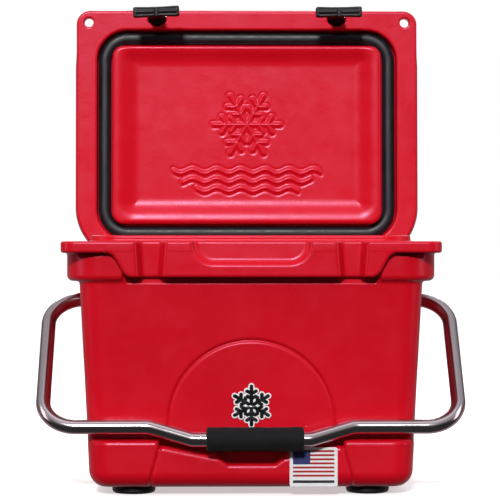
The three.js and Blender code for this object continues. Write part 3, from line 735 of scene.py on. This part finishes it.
# gasket: a soft double-ridged seal running round the plug
def gasket():
    n_c, n_s = 14, 26
    prof = []
    for o, z in (
        (-0.8, 315.4), (-0.8, 313.2), (-0.4, 311.9), (0.6, 311.3), (1.3, 311.9), (2.0, 311.2), (3.6, 310.0), (5.6, 309.55),
        (7.6, 309.45), (9.6, 309.55), (11.6, 310.0), (13.2, 311.2), (13.9, 311.9), (14.6, 311.3), (15.4, 311.9),
        (15.8, 313.2), (15.8, 315.4), (12.0, 315.7), (8.0, 315.7), (4.0, 315.7),
    ):
        prof.append((o, z))
    rings = []
    for o, z in prof:
        hx, hy, r = 180.8 + o, 121.8 + o, 24.0 + o
        pts = []
        for k, (sx, sy) in enumerate(((1, 1), (-1, 1), (-1, -1), (1, -1))):
            cx, cy = sx * (hx - r), sy * (hy - r)
            for t in np.linspace(0, 1, n_c + 1):
                a = math.pi / 2 * (k + t)
                pts.append((cx + r * math.cos(a), cy + r * math.sin(a)))
            nsx, nsy = ((-1, 1), (-1, -1), (1, -1), (1, 1))[k]
            ex, ey = nsx * (hx - r), nsy * (hy - r)
            a = math.pi / 2 * (k + 1)
            x0, y0 = cx + r * math.cos(a), cy + r * math.sin(a)
            x1, y1 = ex + r * math.cos(a), ey + r * math.sin(a)
            for t in np.linspace(0, 1, n_s + 2)[1:-1]:
                pts.append((x0 + (x1 - x0) * t, y0 + (y1 - y0) * t))
        p = np.array(pts)
        s = np.linspace(0, 2 * math.pi, len(p), endpoint=False)
        dz = 0.12 * np.sin(s * 7) + 0.1 * np.sin(s * 17 + 1)
        rings.append(np.column_stack([p, np.full(len(p), z) + (dz if z < 315 else 0)]))
    R = np.array(rings).transpose(1, 0, 2)
    V, q = loft("gasket", R, closed_path=True)
    me = to_mesh("lid_gasket_seal", place(V, True), q)
    add("lid_gasket_seal", me, "lid", GASKET, "lid_gasket")
    soften(me, 50)
    return me


gasket()

# feet, their screws
FX, FY = 140.6, 100.0
for nx, sx in (("left", -1), ("right", 1)):
    for ny, sy in (("front", -1), ("rear", 1)):
        tag = f"{ny}_{nx}"
        prof = [
            (9.2, 0), (9.2, 2.5), (9.2, 25.4), (8.7, 26), (4.4, 26), (3.9, 25.6), (3.4, 26), (3.0, 25.6), (1.0, 24.8), (0, 22.6),
            (0, 19.5), (0.7, 19), (0.7, 17.6), (0, 17.1), (0, 13.5), (0.7, 13), (0.7, 11.6), (0, 11.1), (0, 6.6), (0.5, 5.6), (4.0, 5.6), (4.0, 2.5), (4.0, 0),
        ]
        turned(f"rubber_foot_{tag}", rounded(prof, 0.5, 3), 2, (sx * FX, sy * FY, 0.0), 72, "tub", RUBBER, f"foot_{tag}")

        def screw(x, y, z, cx=sx * FX, cy=sy * FY):
            u, v = x - cx, y - cy
            r = np.hypot(u, v)
            head = cap(r - 5, z, 1.2, 3.7, 0.7)
            thread = 0.22 * np.sin(2 * math.pi * (z / 1.25 - np.arctan2(v, u) / (2 * math.pi)))
            shank = np.maximum(r - 2.0 - thread, np.maximum(3 - z, z - 22.5 + r))
            d = np.minimum(head, shank)
            cross = np.minimum(np.maximum(np.abs(u) - 0.55, np.abs(v) - 2.5), np.maximum(np.abs(v) - 0.55, np.abs(u) - 2.5))
            return np.maximum(d, -np.maximum(cross, z - 2.6))

        c0, c1 = sx * FX, sy * FY
        moulded(
            f"cross_head_screw_{tag}", screw, grid((c0 - 5.8, c0 + 5.8, 0.4)), grid((c1 - 5.8, c1 + 5.8, 0.4)), grid((0.6, 24, 0.4)),
            "tub", STEEL, f"foot_screw_{tag}",
        )

# bushes, hinge pins, caps, latch pins, fill plugs
for side, s in (("left", -1), ("right", 1)):
    prof = [(184.6, 9.35), (184.6, 12.6), (185.2, 13), (203.5, 13), (203.5, 14.7), (204.9, 15), (205.6, 14.2), (205.6, 10.4), (204.9, 9.35), (184.6, 9.35)]
    prof = [(s * a, r) for a, r in prof]
    if s < 0:
        prof = prof[::-1]
    turned(f"handle_bush_ring_{side}", rounded(prof, 0.35, 3), 0, (0, 0, PIVOT_Z), 64, "tub", PLASTIC, f"handle_bush_{side}")
    prof = [(78, 0), (78, 2.4), (78.6, 3), (171, 3), (171.6, 2.4), (171.6, 0)]
    prof = dense([(s * a, r) for a, r in (prof if s > 0 else prof[::-1])], 3)
    turned(f"hinge_rod_{side}", prof, 0, (0, HINGE_Y, HINGE_Z), 32, "tub", STEEL, f"hinge_pin_{side}")
    prof = [(172.4, 0), (172.4, 4.5), (174.6, 4.5), (175.4, 4.0), (175.8, 2.6), (176, 1.0), (176, 0)]
    prof = [(s * a, r) for a, r in (prof if s > 0 else prof[::-1])]
    turned(f"hinge_rod_cap_{side}", rounded(prof, 0.3, 3), 0, (0, HINGE_Y, HINGE_Z), 40, "tub", PLASTIC, f"hinge_pin_cap_{side}")
    c = s * LATCH_X
    prof = [(-20.5, 0), (-20.5, 2.1), (-20.1, 2.5), (20.1, 2.5), (20.5, 2.1), (20.5, 0)]
    turned(f"latch_rod_{side}", dense(prof, 2), 0, (c, PIN_Y, PIN_Z), 32, "lid", STEEL, f"latch_pin_{side}", lid=True)
    prof = [(184.6, 0), (184.6, 5.4), (185.2, 7.8), (186.2, 8.4), (186.7, 8.2), (186.7, 6.5), (188, 6.3), (195.4, 6.3), (196, 5.8), (196, 0)]
    prof = [(s * a, r) for a, r in (prof if s > 0 else prof[::-1])]
    turned(f"tube_end_plug_{side}", rounded(prof, 0.4, 3), 0, (0, 0, PIVOT_Z), 48, "handle", PLASTIC, f"handle_end_plug_{side}")

prof = [(9.7, 0), (9.7, 12.6), (10.1, 13.2), (11.7, 13.2), (11.7, 10), (14.5, 10), (14.5, 0)]
prof = [(9.7, 0), (10.6, 0), (10.6, 3.2), (9.7, 4.0), (9.7, 12.4), (10.3, 13.2), (11.7, 13.2), (11.7, 10), (14.5, 10), (14.5, 0)]
turned("tub_port_plug", rounded(prof, 0.3, 3)[::-1], 2, (0, 0, 0), 64, "tub", PLASTIC, "tub_fill_plug")
prof = [(157.6, 0), (157.6, 7.6), (158, 8), (163.2, 8), (163.2, 10.4), (164.3, 10.4), (164.8, 9.8), (164.8, 4.0), (164.2, 3.2), (164.2, 0)]
turned("lid_port_plug", rounded(prof, 0.3, 3), 1, (0, 0, 317), 56, "lid", PLASTIC, "lid_fill_plug", lid=True)

# ------------------------------------------------------------------ handle
H_DEG = math.radians(44.7)


def in_plane(u, v):
    return np.stack([u, -v * math.cos(H_DEG), PIVOT_Z - v * math.sin(H_DEG)], -1)


def handle_path(end):
    corners = [(-end, 0, 0), (-248, 0, 42), (-248, 208.2, 40), (-121.6, 208.2, 30), (-70, 227.8, 16),
               (70, 227.8, 16), (121.6, 208.2, 30), (248, 208.2, 40), (248, 0, 42), (end, 0, 0)]
    pts = [np.array(corners[0][:2], float)]
    for i in range(1, len(corners) - 1):
        c = np.array(corners[i][:2], float)
        a = np.array(corners[i - 1][:2]) - c
        b = np.array(corners[i + 1][:2]) - c
        a, b = a / np.linalg.norm(a), b / np.linalg.norm(b)
        ang = math.pi - math.acos(np.clip(a @ b, -1, 1))
        r = corners[i][2]
        t = r * math.tan(ang / 2)
        bis = (a + b) / np.linalg.norm(a + b)
        cen = c + bis * (r / math.cos(ang / 2))
        p0, p1 = c + a * t, c + b * t
        w0, w1 = p0 - cen, p1 - cen
        n = max(6, int(math.degrees(ang) / 2.5))
        for k in range(n + 1):
            s = k / n
            sl = math.sin(ang)
            w = (math.sin((1 - s) * ang) * w0 + math.sin(s * ang) * w1) / sl
            pts.append(cen + w)
    pts.append(np.array(corners[-1][:2], float))
    out = [pts[0]]
    for p in pts[1:]:
        gap = np.linalg.norm(p - out[-1])
        if gap < 1e-6:
            continue
        n = max(1, int(gap / 7))
        last = out[-1]
        out += [last + (p - last) * (k + 1) / n for k in range(n)]
    return np.array(out)


def handle_tube():
    P = handle_path(187.0)
    T = np.gradient(P, axis=0)
    T /= np.linalg.norm(T, axis=1, keepdims=True)
    T[0] = (-1, 0)
    T[-1] = (-1, 0)
    Nn = np.stack([-T[:, 1], T[:, 0]], 1)
    seg = 44
    th = np.linspace(0, 2 * math.pi, seg, endpoint=False)
    plane_n = np.array([0.0, -math.sin(H_DEG), math.cos(H_DEG)])
    arc = np.concatenate([[0], np.cumsum(np.linalg.norm(np.diff(P, axis=0), axis=1))])
    rings, along = [], []

    def ring(i, r, shift=0.0):
        c = in_plane(*(P[i] + T[i] * shift))
        n3 = in_plane(*(P[i] + Nn[i])) - in_plane(*P[i])
        rings.append(c + r * (np.cos(th)[:, None] * n3 + np.sin(th)[:, None] * plane_n))
        along.append(arc[i] + shift)

    for r, sh in ((0.02, 11.0), (7.2, 11.0), (7.25, 5.0), (7.25, 0.3), (7.6, 0.0), (8.45, 0.0), (8.75, 0.3)):
        ring(0, r, sh)
    for i in range(1, len(P) - 1):
        ring(i, 8.75)
    for r, sh in ((8.75, -0.3), (8.45, 0.0), (7.6, 0.0), (7.25, -0.3), (7.25, -5.0), (7.2, -11.0), (0.02, -11.0)):
        ring(len(P) - 1, r, sh)
    V, q = loft("tube", rings)
    me = to_mesh("handle_bail_tube", place(V), q)
    lay = me.uv_layers.new(name="along")
    vi = np.zeros(len(me.loops), np.int32)
    me.loops.foreach_get("vertex_index", vi)
    al = np.repeat(np.array(along), seg)[vi] / 1000.0
    an = np.tile(th * 8.75, len(rings))[vi] / 1000.0
    # the seam column runs on instead of jumping back
    fi = np.repeat(np.arange(len(me.polygons)), 4)
    A = an.reshape(-1, 4)
    wrap = (A.max(1) - A.min(1)) > 0.02
    A[wrap] = np.where(A[wrap] < 0.02, A[wrap] + 2 * math.pi * 8.75 / 1000.0, A[wrap])
    lay.data.foreach_set("uv", np.stack([al, A.ravel()], 1).astype(F4).ravel())
    # outward faces
    add("handle_bail_tube", me, "handle", STEEL_TUBE, "handle_bail")
    soften(me, 60)
    return me


tube_me = handle_tube()

rng = np.random.default_rng(7)
ph = rng.uniform(0, 6.28, 12)


def lump(a, th):
    return (
        0.12 * np.sin(3 * th + a * 0.09 + ph[0]) + 0.10 * np.sin(2 * th - a * 0.16 + ph[1])
        + 0.07 * np.sin(5 * th + a * 0.31 + ph[2]) + 0.05 * np.sin(9 * th - a * 0.55 + ph[3])
        + 0.10 * math.sin(a * 0.21 + ph[4])
    )


gc = in_plane(np.array(4.0), np.array(227.8))
gp = [(-57.5, 9.2), (-57.5, 10.4), (-57.3, 12.6), (-56.4, 13.9), (-54.6, 14.55), (-50, 14.6), (-30, 14.3), (0, 14.25), (30, 14.3),
      (50, 14.6), (54.6, 14.55), (56.4, 13.9), (57.3, 12.6), (57.5, 10.4), (57.5, 9.2)]
turned("handle_foam_grip", dense(gp, 1.4), 0, tuple(gc), 84, "handle", GRIP, "handle_grip", wobble=lump)

# ------------------------------------------------------------------ rubber latches
def latch_field(c):
    def f(x, y, z):
        u, v, w = x - c, y - PIN_Y, z - PIN_Z
        k = np.sqrt((u / 11.5) ** 2 + (v / 13.2) ** 2 + (w / 13.2) ** 2)
        head = (k - 1) * 12.2
        stem = cap(rr2(u, v, -9, 9, -4.5, 4.5, 2.2), z, 249, 318, 1)
        # thin web with finger flutes across it
        stem = stem + 0.5 * np.exp(-((v + 4.5) ** 2) / 1.5) * (np.sin(z * 2 * math.pi / 5.0) > 0.35) * (z < 296)
        d = smin(head, stem, 4)
        au = np.abs(u)
        waist = 0.86 + 0.14 * np.clip(au / 24, 0, 1)
        bv, bw = (y + 156.2) / waist, z - 251.5
        bar = cap(rr2(bv, bw, -6.8, 6.8, -7, 7, 2.6), x, c - 30, c + 30, 2.4)
        bar = smax(bar, ((y + 149.4) + (z - 254)) * 0.707, 1.5)
        # rib along each half and a dark slot in the middle, on the underside
        low = 1 / (1 + np.exp(np.clip((z - 247.5) * 2.5, -30, 30)))
        rib = 0.9 * np.exp(-(((y + 156.2) / 1.3) ** 2)) * (1 / (1 + np.exp(np.clip((au - 26.5) * 2, -30, 30))))
        bar = bar - rib * low + 0.8 * low * np.exp(-(((np.abs(y + 156.2) - 3.4) / 1.1) ** 2)) * (au < 26)
        bar = smax(bar, -np.maximum(au - 2.3, z - 247.6), 1)
        d = smin(d, bar, 2.5)
        return smax(d, -np.maximum(np.hypot(v, w) - 2.8, au - 15), 0.6)
    return f


def tilt(c, deg):
    a = math.radians(deg)

    def post(co, N):
        co, N = co.copy(), N.copy()
        w = np.clip((300 - co[:, 2]) / 40, 0, 1) * a
        x, y = co[:, 0] - c, co[:, 1] - PIN_Y
        cs, sn = np.cos(w), np.sin(w)
        co[:, 0], co[:, 1] = c + x * cs - y * sn, PIN_Y + x * sn + y * cs
        nx, ny = N[:, 0].copy(), N[:, 1].copy()
        N[:, 0], N[:, 1] = nx * cs - ny * sn, nx * sn + ny * cs
        return co, N
    return post


for side, s, deg in (("left", -1, -2.2), ("right", 1, -0.8)):
    c = s * LATCH_X
    moulded(
        f"rubber_latch_{side}", latch_field(c), grid((c - 32, c + 32, 0.8)), grid((-173, -143, 0.8)), grid((242.5, 331, 0.9)),
        f"latch_{side}", RUBBER, f"latch_{side}", lid=True, keep=0.6, post=tilt(c, deg),
    )

# ------------------------------------------------------------------ badge and label
def wall_y(z):
    return 148.5 - 0.054 * (260 - z)


BZ, BR = 107.0, 23.0


def flake_plate(width, depth0, depth1, edge):
    def f(x, y, z):
        d = flake2(z - BZ, x, BR) - width
        s = -(y + wall_y(z))
        return cap(d, s, depth0, depth1, edge)
    return f


bx, by_, bz = grid((-29, 29, 0.5)), grid((-143, -139, 0.16)), grid((BZ - 29, BZ + 29, 0.5))
moulded("badge_white_border", flake_plate(3.7, 0.3, 0.85, 0.2), bx, by_, bz, "tub", WHITE_VINYL, "front_badge", keep=0.3)
moulded("badge_black_snowflake", flake_plate(2.15, 0.5, 1.1, 0.2), bx, by_, bz, "tub", BLACK_VINYL, None, keep=0.3)


def label_plate(x, y, z):
    return cap(rr2(x, z, 45, 102, 11, 58, 2.5), y, -148.1, -147.3, 0.3)


moulded(
    "striped_label_plate", label_plate, grid((44, 103, 1.0)), grid((-149, -146.5, 0.2)), grid((10, 59, 1.0)),
    "tub", striped_vinyl(0.045, 0.102, 0.011, 0.058), "striped_label", keep=0.25,
)

# foam cores stay as they are inside the shells
for node in ("tub_foam", "lid_foam"):
    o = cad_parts[node]
    o.data.materials.clear()
    o.data.materials.append(FOAM)

# ------------------------------------------------------------------ studio
sc = bpy.context.scene
sc.view_settings.view_transform = "Standard"
sc.view_settings.look = "None"

floor_m = Mat("pale_floor", Roughness=0.7, Emission_Color=(1, 1, 1, 1), Emission_Strength=0.5)
floor_m.set("Base Color", floor_m.ramp(floor_m.noise(3.0, 3, 0.5), (0.3, (0.86, 0.86, 0.87, 1)), (0.7, (0.9, 0.9, 0.9, 1))))
fme = to_mesh("floor", [(-12, -9, 0), (12, -9, 0), (12, 14, 0), (-12, 14, 0)], [[0, 1, 2, 3]])
floor = bpy.data.objects.new("floor", fme)
sc.collection.objects.link(floor)
fme.materials.append(floor_m.m)
floor.visible_diffuse = floor.visible_glossy = False

world = bpy.data.worlds.new("studio")
sc.world = world
world.use_nodes = True
wt = world.node_tree
bg = wt.nodes["Background"]
lp = wt.nodes.new("ShaderNodeLightPath")
tc = wt.nodes.new("ShaderNodeTexCoord")
sepw = wt.nodes.new("ShaderNodeSeparateXYZ")
wt.links.new(tc.outputs["Generated"], sepw.inputs[0])
rampw = wt.nodes.new("ShaderNodeValToRGB")
el = rampw.color_ramp.elements
for _ in range(2):
    el.new(0.5)
for e_, (at_, v_) in zip(el, ((0.05, 0.04), (0.50, 0.03), (0.60, 0.06), (0.86, 0.46))):
    e_.position, e_.color = at_, (v_, v_ * 0.96, v_ * 1.02, 1)
half = wt.nodes.new("ShaderNodeMath")
half.operation = "MULTIPLY_ADD"
half.inputs[1].default_value = half.inputs[2].default_value = 0.5
wt.links.new(sepw.outputs["Z"], half.inputs[0])
wt.links.new(half.outputs[0], rampw.inputs["Fac"])
# low light that comes from behind the object
rear = wt.nodes.new("ShaderNodeMapRange")
rear.inputs["From Min"].default_value, rear.inputs["From Max"].default_value = 0.05, 0.6
rear.inputs["To Max"].default_value = 0.5
wt.links.new(sepw.outputs["Y"], rear.inputs["Value"])
low = wt.nodes.new("ShaderNodeMapRange")
low.inputs["From Min"].default_value, low.inputs["From Max"].default_value = 0.25, -0.15
wt.links.new(sepw.outputs["Z"], low.inputs["Value"])
both = wt.nodes.new("ShaderNodeMath")
both.operation = "MULTIPLY"
wt.links.new(rear.outputs["Result"], both.inputs[0])
wt.links.new(low.outputs["Result"], both.inputs[1])
addw = wt.nodes.new("ShaderNodeMix")
addw.data_type, addw.blend_type = "RGBA", "ADD"
addw.inputs[0].default_value = 1.0
wt.links.new(rampw.outputs["Color"], addw.inputs[6])
tint = wt.nodes.new("ShaderNodeMix")
tint.data_type = "RGBA"
wt.links.new(both.outputs[0], tint.inputs[0])
tint.inputs[6].default_value = (0, 0, 0, 1)
tint.inputs[7].default_value = (1.0, 0.68, 0.72, 1)
wt.links.new(tint.outputs[2], addw.inputs[7])
mixw = wt.nodes.new("ShaderNodeMix")
mixw.data_type = "RGBA"
wt.links.new(lp.outputs["Is Camera Ray"], mixw.inputs[0])
wt.links.new(addw.outputs[2], mixw.inputs[6])
mixw.inputs[7].default_value = (1, 1, 1, 1)
wt.links.new(mixw.outputs[2], bg.inputs["Color"])
bg.inputs["Strength"].default_value = 1.0


def softbox(name, at, to, size, power, color=(1, 1, 1)):
    l = bpy.data.lights.new(name, "AREA")
    l.shape, l.size, l.size_y, l.energy, l.color = "RECTANGLE", size[0], size[1], power, color
    o = bpy.data.objects.new(name, l)
    o.location = at
    o.rotation_euler = (Vector(to) - Vector(at)).to_track_quat("-Z", "Y").to_euler()
    sc.collection.objects.link(o)


softbox("top", (0, -0.7, 1.9), (0, 0, 0.3), (1.7, 0.8), 2.4, (1, 0.9, 1))
softbox("left", (-2.0, -0.6, 0.9), (0, 0, 0.3), (0.6, 1.7), 7, (1, 0.9, 0.93))
softbox("right", (2.0, -0.6, 0.9), (0, 0, 0.3), (0.6, 1.7), 7, (1, 0.9, 0.93))
softbox("back", (0, 2.4, 1.7), (0, 0, 0.3), (2.4, 1.0), 26)
key = bpy.data.lights.new("key", "SUN")
key.energy, key.angle = 2.76, math.radians(7)
key_o = bpy.data.objects.new("key", key)
key_o.rotation_euler = Vector((0.10, 0.88, -0.47)).to_track_quat("-Z", "Y").to_euler()
sc.collection.objects.link(key_o)

cam = bpy.data.cameras.new("camera")
cam.sensor_width = 36
cam.lens = 159.4
cam.clip_start, cam.clip_end = 0.05, 60
cam_o = bpy.data.objects.new("camera", cam)
cam_o.location = (-0.0507, -2.789, 0.302)
cam_o.rotation_euler = (math.radians(90 - 0.23), 0, math.radians(-1.07))
sc.collection.objects.link(cam_o)
sc.camera = cam_o

bpy.context.view_layer.update()
